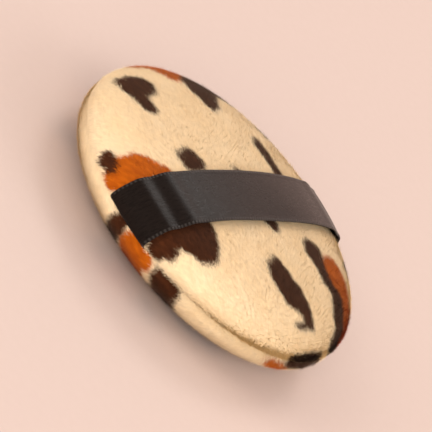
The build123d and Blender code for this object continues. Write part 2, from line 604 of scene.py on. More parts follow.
@dataclass(frozen=True)
class AnimalPrint:
    """The print on one cover: where each dye took on the flat cloth."""

    spots: tuple[Spot, ...]
    ragged: float = 0.9
    ragged_size: float = 3.2
    fine_pitch: float = 1.1
    fine_share: float = 0.5
    fuzz: float = 0.35
    seed: float = 0.0

    def dye(self, which: Dye, places: np.ndarray) -> np.ndarray:
        """How strongly one dye took.

        Args:
            which: The dye.
            places: Places on the flat cloth in millimetres, one row each.

        Returns:
            0 for bare ground to 1 for full dye.
        """
        edge = np.array(
            [
                noise.noise(Vector((x / self.ragged_size, y / self.ragged_size, self.seed)))
                + self.fine_share
                * noise.noise(Vector((x * self.fine_pitch, y * self.fine_pitch, self.seed + 5)))
                for x, y in places
            ]
        )
        nearest = np.min([s.distance(places) for s in self.spots if s.dye is which], axis=0)
        depth = -(nearest + self.ragged * edge) / self.fuzz
        share = np.clip(0.5 + 0.5 * depth, 0.0, 1.0)
        return share * share * (3 - 2 * share)


# ---------------------------------------------------------------------------------------
# Mesh help
# ---------------------------------------------------------------------------------------


def clear_selection() -> None:
    """Leave edit mode and deselect every object."""
    if bpy.context.object and bpy.context.object.mode != "OBJECT":
        bpy.ops.object.mode_set(mode="OBJECT")
    bpy.ops.object.select_all(action="DESELECT")


def make_active(piece: bpy.types.Object) -> None:
    """Select one object alone.

    Args:
        piece: The object.
    """
    clear_selection()
    piece.select_set(True)
    bpy.context.view_layer.objects.active = piece


def apply_modifiers(piece: bpy.types.Object) -> None:
    """Apply every modifier of a piece in order.

    Args:
        piece: The piece.
    """
    make_active(piece)
    for modifier in list(piece.modifiers):
        bpy.ops.object.modifier_apply(modifier=modifier.name)


def read_rows(items: bpy.types.bpy_prop_collection, name: str, columns: int) -> np.ndarray:
    """Read one property of every item of a mesh.

    Args:
        items: The mesh's vertices, corners or the like.
        name: The property.
        columns: How many numbers each item has.

    Returns:
        One row for each item.
    """
    numbers = np.empty(len(items) * columns)
    items.foreach_get(name, numbers)
    return numbers.reshape(-1, columns)


def read_indices(items: bpy.types.bpy_prop_collection, name: str, columns: int) -> np.ndarray:
    """Read one index property of every item of a mesh.

    Args:
        items: The mesh's corners or triangles.
        name: The property.
        columns: How many indices each item has.

    Returns:
        All indices in one row.
    """
    indices = np.empty(len(items) * columns, dtype=np.int64)
    items.foreach_get(name, indices)
    return indices


def points_of(mesh: bpy.types.Mesh) -> np.ndarray:
    """The mesh's vertex places, one row each."""
    return read_rows(mesh.vertices, "co", 3)


def move_points(mesh: bpy.types.Mesh, places: np.ndarray) -> None:
    """Put the mesh's vertices at new places."""
    mesh.vertices.foreach_set("co", places.astype(np.float32).ravel())
    mesh.update()


def lay_flat_map(mesh: bpy.types.Mesh, layer: bpy.types.MeshUVLoopLayer, flat: np.ndarray) -> None:
    """Give every corner of a mesh its vertex's place on a flat map."""
    corners = read_indices(mesh.loops, "vertex_index", 1)
    layer.data.foreach_set("uv", flat[corners].astype(np.float32).ravel())


def unit(rows: np.ndarray) -> np.ndarray:
    """The same vectors with length 1."""
    return rows / np.linalg.norm(rows, axis=1, keepdims=True)


def copy_piece(piece: bpy.types.Object, name: str) -> bpy.types.Object:
    """Copy a piece with a mesh of its own.

    Args:
        piece: The piece.
        name: The copy's name.

    Returns:
        The copy.
    """
    twin = piece.copy()
    twin.data = piece.data.copy()
    twin.name = name
    twin.data.name = name
    bpy.context.collection.objects.link(twin)
    return twin


def keep_number(mesh: bpy.types.Mesh, name: str, numbers: np.ndarray) -> None:
    """Keep one number per vertex on the mesh."""
    attribute = mesh.attributes.get(name) or mesh.attributes.new(name, "FLOAT", "POINT")
    attribute.data.foreach_set("value", numbers.astype(np.float32))


# ---------------------------------------------------------------------------------------
# The stuffed pillow
# ---------------------------------------------------------------------------------------


@dataclass
class Pillow:
    """The stuffed form that both covers take: two domes joined at a pinched seam."""

    radius: float
    half_thickness: float
    seam_height: float
    pile: float = 0.95 * MM
    fullness: float = 2.75
    pinch_height: float = 1.7 * MM
    pinch_depth: float = 0.75 * MM
    segments: int = 128
    rings: int = 56
    profile_steps: int = 721
    pucker_count: int = 37
    pucker_spread: int = 14
    pucker_waves: int = 5
    pucker_depth: float = 0.34 * MM
    pucker_reach: float = 0.55
    pucker_start: float = 0.6 * MM
    unevenness: float = 0.012
    swell_cap: float = 0.9 * MM
    pressure: float = 4.0
    cloth_mass: float = 0.2
    cloth_stiffness: float = 12.0
    cloth_bending: float = 0.4
    cloth_quality: int = 6
    frames: int = 20
    seed: int = 7
    dome_radius: float = field(init=False)
    dome_height: float = field(init=False)
    cloth_radius: float = field(init=False)
    profile_turns: np.ndarray = field(init=False)
    profile_lengths: np.ndarray = field(init=False)

    def __post_init__(self) -> None:
        """Work out the cloth's flat radius from the dome's profile."""
        self.dome_radius = self.radius - self.pile
        self.dome_height = self.half_thickness - self.pile
        turns = np.linspace(0.0, math.pi / 2, self.profile_steps)
        out, up = self.profile(turns)
        steps = np.hypot(np.diff(out), np.diff(up))
        self.profile_turns = turns
        self.profile_lengths = np.concatenate([[0.0], np.cumsum(steps)])
        self.cloth_radius = float(self.profile_lengths[-1])

    def profile(self, turns: np.ndarray) -> tuple[np.ndarray, np.ndarray]:
        """The dome's section.

        Args:
            turns: 0 at the pole to a quarter turn at the seam.

        Returns:
            Distance from the axis and height above the seam.
        """
        power = 2.0 / self.fullness
        out = self.dome_radius * np.sin(turns) ** power
        up = self.dome_height * np.abs(np.cos(turns)) ** power
        near_seam = np.clip(1.0 - up / self.pinch_height, 0.0, 1.0)
        return out - self.pinch_depth * near_seam ** 2, up

    def build(self) -> bpy.types.Object:
        """Make the closed form and let it swell.

        Returns:
            The pillow, with the cloth's flat map.
        """
        clear_selection()
        bpy.ops.mesh.primitive_uv_sphere_add(
            segments=self.segments, ring_count=self.rings, radius=1.0, location=(0, 0, 0)
        )
        pillow = bpy.context.object
        pillow.name = "pillow_form"
        ball = points_of(pillow.data)
        rise = np.clip(ball[:, 2], -1, 1)
        turns = np.arccos(np.abs(rise))
        around = np.arctan2(ball[:, 1], ball[:, 0])
        out, up = self.profile(turns)
        out, up = self._pucker(out, up, around)
        shaped = np.column_stack(
            [out * np.cos(around), out * np.sin(around), np.where(rise < 0, -up, up)]
        )
        shaped[:, 2] += self.seam_height
        move_points(pillow.data, shaped)
        self._map_cloth(pillow.data, turns, around)
        self._swell(pillow, shaped, turns)
        log.info("pillow form: %d points", len(shaped))
        return pillow

    def _pucker(
        self, out: np.ndarray, up: np.ndarray, around: np.ndarray
    ) -> tuple[np.ndarray, np.ndarray]:
        """Gather the cloth a little where the seam draws it in.

        Args:
            out: Distance from the axis of each point.
            up: Height above the seam of each point.
            around: Angle of each point about the axis.

        Returns:
            The gathered distances and heights.
        """
        chance = np.random.default_rng(self.seed)
        wave = np.zeros_like(around)
        for turn in range(self.pucker_waves):
            extra = chance.integers(-self.pucker_spread, self.pucker_spread + 1)
            count = self.pucker_count + int(extra)
            wave += np.cos(count * around + chance.uniform(0, 2 * math.pi)) / (1.5 + turn)
        low = sum(
            np.cos(k * around + chance.uniform(0, 2 * math.pi)) / k for k in (2, 3, 5)
        )
        near = np.clip(1 - up / (self.pucker_reach * self.dome_height), 0, 1)
        draw = near ** 1.5 * np.clip(up / self.pucker_start, 0, 1)
        out = out + self.pucker_depth * draw * (0.6 * wave + 0.5 * low)
        return out, up * (1 + self.unevenness * low * (1 - near))

    def _map_cloth(self, mesh: bpy.types.Mesh, turns: np.ndarray, around: np.ndarray) -> None:
        """Lay the cloth's flat map: distance along the cloth from the middle, and angle.

        Args:
            mesh: The form's mesh.
            turns: Each point's place in the profile.
            around: Each point's angle about the axis.
        """
        lengths = np.interp(turns, self.profile_turns, self.profile_lengths)
        share = 0.5 * lengths / self.cloth_radius
        flat = np.column_stack([0.5 + share * np.cos(around), 0.5 + share * np.sin(around)])
        layer = mesh.uv_layers.active
        layer.name = CLOTH_MAP
        lay_flat_map(mesh, layer, flat)

    def _swell(self, pillow: bpy.types.Object, shaped: np.ndarray, turns: np.ndarray) -> None:
        """Blow the form up with a cloth simulation and keep a capped share of the result.

        Args:
            pillow: The form.
            shaped: Its points before it swells.
            turns: Each point's place in the profile, which finds the seam.
        """
        make_active(pillow)
        held = pillow.vertex_groups.new(name="seam")
        ring = [int(i) for i in np.nonzero(turns > math.pi / 2 - 1e-3)[0]]
        held.add(ring, 1.0, "REPLACE")
        cloth = pillow.modifiers.new("stuffing", "CLOTH")
        cloth.settings.quality = self.cloth_quality
        cloth.settings.mass = self.cloth_mass
        cloth.settings.tension_stiffness = self.cloth_stiffness
        cloth.settings.compression_stiffness = self.cloth_stiffness
        cloth.settings.bending_stiffness = self.cloth_bending
        cloth.settings.use_pressure = True
        cloth.settings.uniform_pressure_force = self.pressure
        cloth.settings.vertex_group_mass = "seam"
        cloth.settings.effector_weights.gravity = 0.0
        cloth.collision_settings.use_collision = False
        cloth.point_cache.frame_start = 1
        cloth.point_cache.frame_end = self.frames
        scene = bpy.context.scene
        for step in range(1, self.frames + 1):
            scene.frame_set(step)
        seen = pillow.evaluated_get(bpy.context.evaluated_depsgraph_get())
        swollen = points_of(seen.data)
        pillow.modifiers.remove(cloth)
        moved = swollen - shaped
        size = np.linalg.norm(moved, axis=1, keepdims=True)
        moved *= self.swell_cap * np.tanh(size / self.swell_cap) / np.maximum(size, 1e-9)
        log.info("stuffing moved the cloth by up to %.2f mm", float(size.max()) / MM)
        move_points(pillow.data, shaped + moved)
        scene.frame_set(1)

    def flat_places(self, mapped: np.ndarray) -> np.ndarray:
        """Turn places on the flat map into millimetres on the cloth from its middle."""
        return (mapped - 0.5) * (2 * self.cloth_radius / MM)


# ---------------------------------------------------------------------------------------
# The covers
# ---------------------------------------------------------------------------------------


@dataclass
class Skin:
    """Triangles of one cover's outer face, ready for pile to be rooted in."""

    corners: np.ndarray
    normals: np.ndarray
    mapped: np.ndarray

    def roots(self, count: int, chance: np.random.Generator) -> tuple[np.ndarray, ...]:
        """Scatter roots evenly over the face.

        Args:
            count: How many.
            chance: The source of chance.

        Returns:
            Places, normals and flat map places.
        """
        edge_one = self.corners[:, 1] - self.corners[:, 0]
        edge_two = self.corners[:, 2] - self.corners[:, 0]
        area = np.linalg.norm(np.cross(edge_one, edge_two), axis=1)
        chosen = chance.choice(len(area), size=count, p=area / area.sum())
        first, second = chance.random((2, count))
        over = first + second > 1
        first[over], second[over] = 1 - first[over], 1 - second[over]
        share = np.stack([1 - first - second, first, second], axis=1)[:, :, None]
        places = (self.corners[chosen] * share).sum(axis=1)
        normals = unit((self.normals[chosen] * share).sum(axis=1))
        return places, normals, (self.mapped[chosen] * share).sum(axis=1)


@dataclass
class Hairs:
    """The hairs of one stretch of pile, one row each."""

    roots: np.ndarray
    normals: np.ndarray
    mapped: np.ndarray
    across: np.ndarray
    bends: np.ndarray
    tips: np.ndarray
    lower_run: np.ndarray
    upper_run: np.ndarray
    fringe: np.ndarray


@dataclass
class PlushCover:
    """One round of printed plush: knitted backing, turned-in edge and pile.

    Angles are in degrees. A hair's stand and lie are measured from the cloth's normal, and
    each pair is the least and the most that chance gives.
    """

    side: Side
    pillow: Pillow
    print_: AnimalPrint
    allowance: float = 5.0 * MM
    backing: float = 0.5 * MM
    fold_step: float = 0.05 * MM
    fill: float = 0.7
    quarters: int = 4
    hair_count: int = 190000
    hair_width: float = 0.17 * MM
    hair_lower: float = 0.50 * MM
    hair_upper: float = 0.90 * MM
    root_depth: float = 0.15 * MM
    bend_width: float = 0.9
    bend_height: float = 0.6
    stand: tuple[float, float] = (40, 60)
    lie: tuple[float, float] = (62, 82)
    stray_stand: tuple[float, float] = (8, 30)
    stray_lie: tuple[float, float] = (25, 50)
    stray_share: float = 0.10
    lower_share: tuple[float, float] = (0.8, 1.15)
    upper_share: tuple[float, float] = (0.7, 1.2)
    width_share: tuple[float, float] = (0.75, 1.25)
    seam_fringe: float = 3.0 * MM
    fringe_stand: float = 0.55
    fringe_lie: float = 0.40
    fringe_facing: float = 1.2
    ribbon_middle: float = -3.3 * MM
    ribbon_half: float = 7.5 * MM
    pressed_stand: float = 68.0
    pressed_lie: float = 82.0
    nap_angle: float = 118.0
    ruffle: float = 0.15
    ruffle_scale: float = 130.0
    fine_ruffle_scale: float = 300.0
    unruly: float = 0.17
    bleed_along: float = 0.45
    bleed_across: float = 0.22
    map_cell: float = 0.0016
    map_margin: float = 0.0005
    shade: tuple[float, float] = (0.95, 1.04)
    lean_share: float = 0.10
    seed: int = 11

    def build(self, form: bpy.types.Object) -> list[bpy.types.Object]:
        """Make the cover's cloth and pile.

        Args:
            form: The stuffed pillow.

        Returns:
            The cover's pieces.
        """
        cloth = self._cut_out(form)
        skin = self._read_skin(cloth)
        self._turn_in_edge(cloth)
        self._dye_cloth(cloth)
        cloth.data.materials.clear()
        backing = PrintedPlush().material(f"{self.side.word}_plush_backing", hairy=False)
        cloth.data.materials.append(backing)
        self._join_puff(cloth)
        pieces = [cloth]
        hairy = PrintedPlush().material(f"{self.side.word}_plush_pile", hairy=True)
        for quarter in range(self.quarters):
            pile = self._grow_pile(skin, quarter)
            pile.data.materials.append(hairy)
            self._join_puff(pile)
            pieces.append(pile)
        return pieces

    def _join_puff(self, piece: bpy.types.Object) -> None:
        """Let a piece ride on the puff in place of this side's CAD cover.

        Args:
            piece: The piece.
        """
        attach(piece, "puff")
        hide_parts(f"{self.side.word}_cover")

    def _cut_out(self, form: bpy.types.Object) -> bpy.types.Object:
        """Copy the form and keep this cover's half of it.

        Args:
            form: The stuffed pillow.

        Returns:
            The cover's cloth.
        """
        cloth = copy_piece(form, f"{self.side.word}_cover_cloth")
        make_active(cloth)
        seam = self.pillow.seam_height
        bpy.ops.object.mode_set(mode="EDIT")
        bpy.ops.mesh.select_all(action="SELECT")
        bpy.ops.mesh.bisect(
            plane_co=(0, 0, seam),
            plane_no=(0, 0, 1),
            clear_inner=self.side is Side.UPPER,
            clear_outer=self.side is Side.LOWER,
            threshold=1e-6,
        )
        bpy.ops.object.mode_set(mode="OBJECT")
        return cloth

    def _read_skin(self, cloth: bpy.types.Object) -> Skin:
        """Read the outer face's triangles, normals and flat map.

        Args:
            cloth: The cover's cloth before its edge is turned in.

        Returns:
            The outer face.
        """
        mesh = cloth.data
        mesh.calc_loop_triangles()
        places = points_of(mesh)
        normals = read_rows(mesh.vertices, "normal", 3)
        points = read_indices(mesh.loop_triangles, "vertices", 3)
        loops = read_indices(mesh.loop_triangles, "loops", 3)
        mapped = read_rows(mesh.uv_layers[CLOTH_MAP].data, "uv", 2)
        return Skin(
            places[points].reshape(-1, 3, 3),
            normals[points].reshape(-1, 3, 3),
            mapped[loops].reshape(-1, 3, 2),
        )

    def _turn_in_edge(self, cloth: bpy.types.Object) -> None:
        """Fold the cover's edge inwards as its seam allowance and give the cloth its body.

        Args:
            cloth: The cover's cloth.
        """
        make_active(cloth)
        seam = self.pillow.seam_height
        bpy.ops.object.mode_set(mode="EDIT")
        bpy.ops.mesh.select_mode(type="VERT")
        bpy.ops.mesh.select_all(action="DESELECT")
        bpy.ops.object.mode_set(mode="OBJECT")
        for point in cloth.data.vertices:
            point.select = abs(point.co.z - seam) < 1e-5
        bpy.ops.object.mode_set(mode="EDIT")
        bpy.ops.mesh.select_mode(type="EDGE")
        edge_radius = self.pillow.dome_radius - self.pillow.pinch_depth
        inner = (edge_radius - self.allowance) / edge_radius
        bpy.ops.mesh.extrude_region_move(
            TRANSFORM_OT_translate={"value": (0, 0, self.side.value * self.fold_step)}
        )
        bpy.ops.transform.resize(value=(inner, inner, 1), center_override=(0, 0, seam))
        bpy.ops.object.mode_set(mode="OBJECT")
        body = cloth.modifiers.new("backing", "SOLIDIFY")
        body.thickness = self.backing
        body.offset = -1.0
        apply_modifiers(cloth)
        bpy.ops.object.shade_smooth()

    def _dye_cloth(self, cloth: bpy.types.Object) -> None:
        """Keep the print's two dyes on the cloth's points.

        Args:
            cloth: The cover's cloth.
        """
        mesh = cloth.data
        flat = np.zeros((len(mesh.vertices), 2))
        corners = read_indices(mesh.loops, "vertex_index", 1)
        flat[corners] = read_rows(mesh.uv_layers[CLOTH_MAP].data, "uv", 2)
        places = self.pillow.flat_places(flat)
        for dye in Dye:
            keep_number(mesh, dye.value, self.print_.dye(dye, places))

    def _grow_pile(self, skin: Skin, quarter: int) -> bpy.types.Object:
        """Grow a quarter of the cover's pile.

        Args:
            skin: The outer face.
            quarter: Which quarter turn it grows on, 0 to 3.

        Returns:
            The pile.
        """
        name = f"{self.side.word}_pile_{quarter + 1}"
        chance = np.random.default_rng(self.seed + 10 * self.side.value + quarter + 20)
        hairs = self._comb(skin, quarter, chance)
        mesh = self._make_blades(name, hairs, chance)
        self._dye_hairs(mesh, hairs, chance)
        self._shade_hairs(mesh, hairs)
        pile = bpy.data.objects.new(name, mesh)
        bpy.context.collection.objects.link(pile)
        log.info("%s: %d hairs", name, len(hairs.roots))
        return pile

    def _comb(self, skin: Skin, quarter: int, chance: np.random.Generator) -> Hairs:
        """Root the hairs of one quarter and lay them over.

        Each hair is in two steps: it stands up from the cloth, then lies over with the nap.
        Beside the seam it stands up more, and under the ribbon it is pressed down.

        Args:
            skin: The outer face.
            quarter: Which quarter turn they grow on.
            chance: The source of chance.

        Returns:
            The hairs.
        """
        roots, normals, mapped = skin.roots(self.hair_count, chance)
        around = np.arctan2(roots[:, 1], roots[:, 0]) + math.pi
        turn = 2 * math.pi / self.quarters
        kept = np.minimum(around // turn, self.quarters - 1) == quarter
        roots, normals, mapped = roots[kept], normals[kept], mapped[kept]
        nap = self._nap(roots, normals, chance)

        def spread(low: float, high: float) -> np.ndarray:
            """Even chance between two numbers, one for each hair."""
            return chance.uniform(low, high, (len(roots), 1))

        stray = spread(0, 1) < self.stray_share
        stand = np.radians(np.where(stray, spread(*self.stray_stand), spread(*self.stand)))
        lie = np.radians(np.where(stray, spread(*self.stray_lie), spread(*self.lie)))
        lower = self.hair_lower * spread(*self.lower_share)
        upper = self.hair_upper * spread(*self.upper_share)
        from_seam = np.abs(roots[:, 2:] - self.pillow.seam_height)
        fringe = np.clip(1 - from_seam / self.seam_fringe, 0, 1)
        stand *= 1 - self.fringe_stand * fringe
        lie *= 1 - self.fringe_lie * fringe
        if self.side is Side.UPPER:
            pressed = np.abs(roots[:, 1:2] - self.ribbon_middle) < self.ribbon_half
            stand[pressed] = np.maximum(stand[pressed], math.radians(self.pressed_stand))
            lie[pressed] = np.maximum(lie[pressed], math.radians(self.pressed_lie))
        bends = roots + lower * (np.cos(stand) * normals + np.sin(stand) * nap)
        return Hairs(
            roots=roots - self.root_depth * normals,
            normals=normals,
            mapped=mapped,
            across=unit(np.cross(nap, normals)),
            bends=bends,
            tips=bends + upper * (np.cos(lie) * normals + np.sin(lie) * nap),
            lower_run=lower * np.sin(stand),
            upper_run=upper * np.sin(lie),
            fringe=fringe,
        )

    def _nap(
        self, roots: np.ndarray, normals: np.ndarray, chance: np.random.Generator
    ) -> np.ndarray:
        """The way each hair leans: brushed one way on the flat cloth, then ruffled.

        Args:
            roots: The hairs' roots.
            normals: The cloth's normals there.
            chance: The source of chance.

        Returns:
            One unit vector along the cloth for each hair.
        """
        around = np.arctan2(roots[:, 1], roots[:, 0])
        turn = (math.radians(self.nap_angle) - around)[:, None]
        sideways = np.column_stack([-np.sin(around), np.cos(around), np.zeros(len(around))])
        downhill = self.side.value * np.cross(sideways, normals)
        brushed = np.cos(turn) * downhill + np.sin(turn) * sideways
        elsewhere = Vector((9, 3, 1))
        ruffle = np.array(
            [
                (
                    noise.noise(Vector(place) * self.ruffle_scale),
                    noise.noise(Vector(place) * self.ruffle_scale + elsewhere),
                    noise.noise(Vector(place) * self.fine_ruffle_scale),
                )
                for place in roots.tolist()
            ]
        )
        nap = brushed + self.ruffle * ruffle
        nap += chance.normal(0.0, self.unruly, nap.shape)
        nap -= (nap * normals).sum(axis=1, keepdims=True) * normals
        return unit(nap)

    def _make_blades(
        self, name: str, hairs: Hairs, chance: np.random.Generator
    ) -> bpy.types.Mesh:
        """Make the hairs as thin blades that stay above the table.

        Args:
            name: The mesh's name.
            hairs: The hairs.
            chance: The source of chance.

        Returns:
            The mesh, with the hairs' places on the cloth's flat map.
        """
        share = chance.uniform(*self.width_share, (len(hairs.roots), 1))
        wide = self.hair_width / 2 * share * hairs.across
        bent = self.bend_width * wide
        points = np.stack(
            [hairs.roots - wide, hairs.roots + wide, hairs.bends + bent, hairs.bends - bent,
             hairs.tips],
            axis=1,
        )
        points[:, :, 2] = np.maximum(points[:, :, 2], 0.0)
        mesh = self._blades(name, points)
        offsets = np.array([(-1, -1), (1, -1), (1, 0), (-1, 0), (0, 1)]) * self.map_cell
        flat = hairs.mapped[:, None, :] + offsets[None]
        flat = np.clip(flat, self.map_margin, 1.0 - self.map_margin).reshape(-1, 2)
        lay_flat_map(mesh, mesh.uv_layers.new(name=CLOTH_MAP), flat)
        return mesh

    def _dye_hairs(
        self, mesh: bpy.types.Mesh, hairs: Hairs, chance: np.random.Generator
    ) -> None:
        """Give each hair the dye at its bend and its tip, its height and its own shade.

        Args:
            mesh: The hairs' mesh.
            hairs: The hairs.
            chance: The source of chance.
        """
        count = len(hairs.roots)
        angle = math.radians(self.nap_angle)
        combed = np.array([[math.cos(angle), math.sin(angle)], [-math.sin(angle), math.cos(angle)]])
        bleed = chance.normal(0.0, 1.0, (count, 2)) * [self.bleed_along, self.bleed_across]
        places = self.pillow.flat_places(hairs.mapped) + bleed @ combed
        bend = places + hairs.lower_run / MM * combed[0]
        end = bend + hairs.upper_run / MM * combed[0]
        heights = [0.0, 0.0, self.bend_height, self.bend_height, 1.0]
        shades = chance.uniform(*self.shade, count)
        keep_number(mesh, HAIR_HEIGHT, np.tile(heights, count))
        keep_number(mesh, HAIR_SHADE, np.repeat(shades, HAIR_POINTS))
        for dye in Dye:
            taken = self.print_.dye(dye, np.vstack([bend, end])).reshape(2, count)
            keep_number(mesh, dye.value, taken[[0, 0, 0, 0, 1]].T.ravel())

    def _shade_hairs(self, mesh: bpy.types.Mesh, hairs: Hairs) -> None:
        """Turn the hairs' shading outwards, so that light falls on them as on the cloth.

        Args:
            mesh: The hairs' mesh.
            hairs: The hairs.
        """
        outwards = unit(hairs.roots * [1.0, 1.0, 0.0])
        facing = unit(hairs.normals + self.fringe_facing * hairs.fringe * outwards)
        lean = unit(np.cross(hairs.across, hairs.tips - hairs.roots))
        lean *= np.sign((lean * facing).sum(axis=1, keepdims=True))
        shading = unit((1.0 - self.lean_share) * facing + self.lean_share * lean)
        mesh.normals_split_custom_set_from_vertices(
            np.repeat(shading, HAIR_POINTS, axis=0).tolist()
        )

    @staticmethod
    def _blades(name: str, points: np.ndarray) -> bpy.types.Mesh:
        """Make a mesh of one quad and one triangle for each hair.

        Args:
            name: The mesh's name.
            points: Five points for each hair: foot, foot, middle, middle, tip.

        Returns:
            The mesh.
        """
        count = len(points)
        first = np.arange(count)[:, None] * HAIR_POINTS
        corners = np.concatenate([first + [0, 1, 2, 3], first + [3, 2, 4]], axis=1)
        sizes = np.tile([4, 3], count)
        mesh = bpy.data.meshes.new(name)
        mesh.vertices.add(count * HAIR_POINTS)
        mesh.loops.add(corners.size)
        mesh.polygons.add(2 * count)
        mesh.vertices.foreach_set("co", points.astype(np.float32).ravel())
        mesh.loops.foreach_set("vertex_index", corners.astype(np.int32).ravel())
        starts = np.concatenate([[0], np.cumsum(sizes)[:-1]])
        mesh.polygons.foreach_set("loop_start", starts.astype(np.int32))
        mesh.polygons.foreach_set("use_smooth", np.ones(2 * count, dtype=bool))
        mesh.update(calc_edges=True)
        return mesh


# ---------------------------------------------------------------------------------------
# The ribbon
# ---------------------------------------------------------------------------------------


@dataclass(frozen=True)
class Wave:
    """A soft bend across the ribbon, in millimetres from each sewn end."""

    place: float
    height: float
    reach: float


@dataclass
class RibbonStrap:
    """The satin ribbon over the upper face, in stretches, of which the crown rides on the strap's
    middle.
    """

    width: float
    crown_height: float
    side_reach: float
    seam_height: float
    shift: float = -3.3 * MM
    shoulder: float = 36.0 * MM
    middle: float = 9.0 * MM
    blend_rise: float = 6.0 * MM
    rim_radius: float = 44.8 * MM
    hug_height: float = 13.0 * MM
    fullness: float = 2.5
    thickness: float = 0.34 * MM
    entry_radius: float = 41.8 * MM
    entry_height: float = 0.16 * MM
    fold_height: float = 1.7 * MM
    fold_inset: float = 1.2 * MM
    fold_bulge: tuple[float, float] = (0.05 * MM, 0.5 * MM)
    fold_steps: int = 39
    arch_steps: int = 400
    slope_step: float = 0.4 * MM
    across_steps: int = 28
    along_steps: int = 220
    selvedge: float = 0.55 * MM
    selvedge_width: float = 0.22 * MM
    selvedge_rise: float = 0.10 * MM
    crowning: float = 0.14 * MM
    waves: tuple[Wave, ...] = (
        Wave(11.0, 0.42, 1.8),
        Wave(15.2, -0.34, 2.0),
        Wave(20.0, 0.36, 2.6),
    )
    right_share: float = 0.55
    slack: float = 0.12 * MM
    slack_along: float = 7.0
    slack_across: float = 5.0
    slack_start: float = 0.6
    calm_end: float = 3.5
    calm_reach: float = 3.0
    smooth_angle: float = 50.0

    def build(self) -> list[bpy.types.Object]:
        """Make the ribbon's stretches and dress them.

        Returns:
            The pieces from left to right.
        """
        whole = self._weave_strip()
        satin = SatinRibbon().material()
        left = self._side(whole, "left", -1, satin)
        crown = self._stretch(whole, "ribbon_crown", -self.middle, self.middle, satin)
        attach(crown, "strap_middle")
        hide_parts("ribbon_middle")
        right = self._side(whole, "right", 1, satin)
        bpy.data.objects.remove(whole)
        return [*left, crown, *reversed(right)]

    def _side(
        self, whole: bpy.types.Object, word: str, sign: int, satin: bpy.types.Material
    ) -> tuple[bpy.types.Object, bpy.types.Object]:
        """Make one side's two stretches.

        Args:
            whole: The whole strip.
            word: The side's name.
            sign: -1 on the left, 1 on the right.
            satin: The ribbon's material.

        Returns:
            The root beside the seam, and the shoulder between it and the crown.
        """
        far = 2 * self.side_reach
        root_ends = sorted((sign * self.shoulder, sign * far))
        root = self._stretch(whole, f"ribbon_{word}_root", *root_ends, satin)
        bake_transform(root)
        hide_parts(f"ribbon_{word}_flank", f"ribbon_{word}_tail")
        shoulder_ends = sorted((sign * self.shoulder, sign * self.middle))
        shoulder = self._stretch(whole, f"ribbon_{word}_shoulder", *shoulder_ends, satin)
        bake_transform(shoulder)
        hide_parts("ribbon_middle")
        return root, shoulder

    def _path(self) -> tuple[np.ndarray, np.ndarray]:
        """The middle line of the ribbon's underside, from seam to seam, and its length.

        Returns:
            Rows of x and z, and the length along the line at each.
        """
        turns = np.linspace(0.0, math.pi / 2, self.arch_steps)
        power = 2.0 / self.fullness
        quarter = np.column_stack(
            [self.side_reach * np.cos(turns) ** power, self.crown_height * np.sin(turns) ** power]
        )
        quarter = quarter[quarter[:, 1] > self.fold_height]
        fold_start = Vector((self.entry_radius, self.entry_height))
        fold_end = Vector(quarter[0])
        pull_in = Vector((self.side_reach - self.fold_inset, self.entry_height))
        pull_up = Vector((self.side_reach + self.fold_bulge[0], self.fold_bulge[1]))
        shares = np.linspace(0.0, 1.0, self.fold_steps + 1)[:-1]
        fold = np.array(
            [
                (1 - t) ** 3 * fold_start
                + 3 * (1 - t) ** 2 * t * pull_in
                + 3 * (1 - t) * t ** 2 * pull_up
                + t ** 3 * fold_end
                for t in shares
            ]
        )
        half = np.vstack([fold, quarter])
        line = np.vstack([half * [-1, 1], half[::-1]])
        line[:, 1] += self.seam_height
        steps = np.hypot(*np.diff(line, axis=0).T)
        return line, np.concatenate([[0.0], np.cumsum(steps)])

    def _weave_strip(self) -> bpy.types.Object:
        """Make the whole ribbon as one thin strip draped on its line.

        Returns:
            The strip, with the ribbon's flat map.
        """
        clear_selection()
        bpy.ops.mesh.primitive_grid_add(
            x_subdivisions=self.along_steps, y_subdivisions=self.across_steps, size=1.0
        )
        strip = bpy.context.object
        strip.name = "ribbon_strip"
        grid = points_of(strip.data)
        line, lengths = self._path()
        total = lengths[-1]
        along = (grid[:, 0] + 0.5) * total
        across = grid[:, 1] * self.width
        x = np.interp(along, lengths, line[:, 0])
        z = np.interp(along, lengths, line[:, 1])
        ahead = np.minimum(along + self.slope_step, total)
        behind = np.maximum(along - self.slope_step, 0)
        run = np.interp(ahead, lengths, line[:, 0]) - np.interp(behind, lengths, line[:, 0])
        rise = np.interp(ahead, lengths, line[:, 1]) - np.interp(behind, lengths, line[:, 1])
        size = np.hypot(run, rise)
        out_x, out_z = -rise / size, run / size
        lift = self._relief(along, across, total)
        y = across + self.shift
        height = np.clip((z - self.seam_height) / self.hug_height, 0, 1)
        hug = 1 - height * height * (3 - 2 * height)
        rim = self.rim_radius - np.sqrt(self.rim_radius ** 2 - y ** 2)
        x = x - np.sign(x) * rim * hug
        move_points(strip.data, np.column_stack([x + out_x * lift, y, z + out_z * lift]))
        layer = strip.data.uv_layers.active
        layer.name = RIBBON_MAP
        lay_flat_map(strip.data, layer, np.column_stack([along, across + self.width / 2]))
        return strip

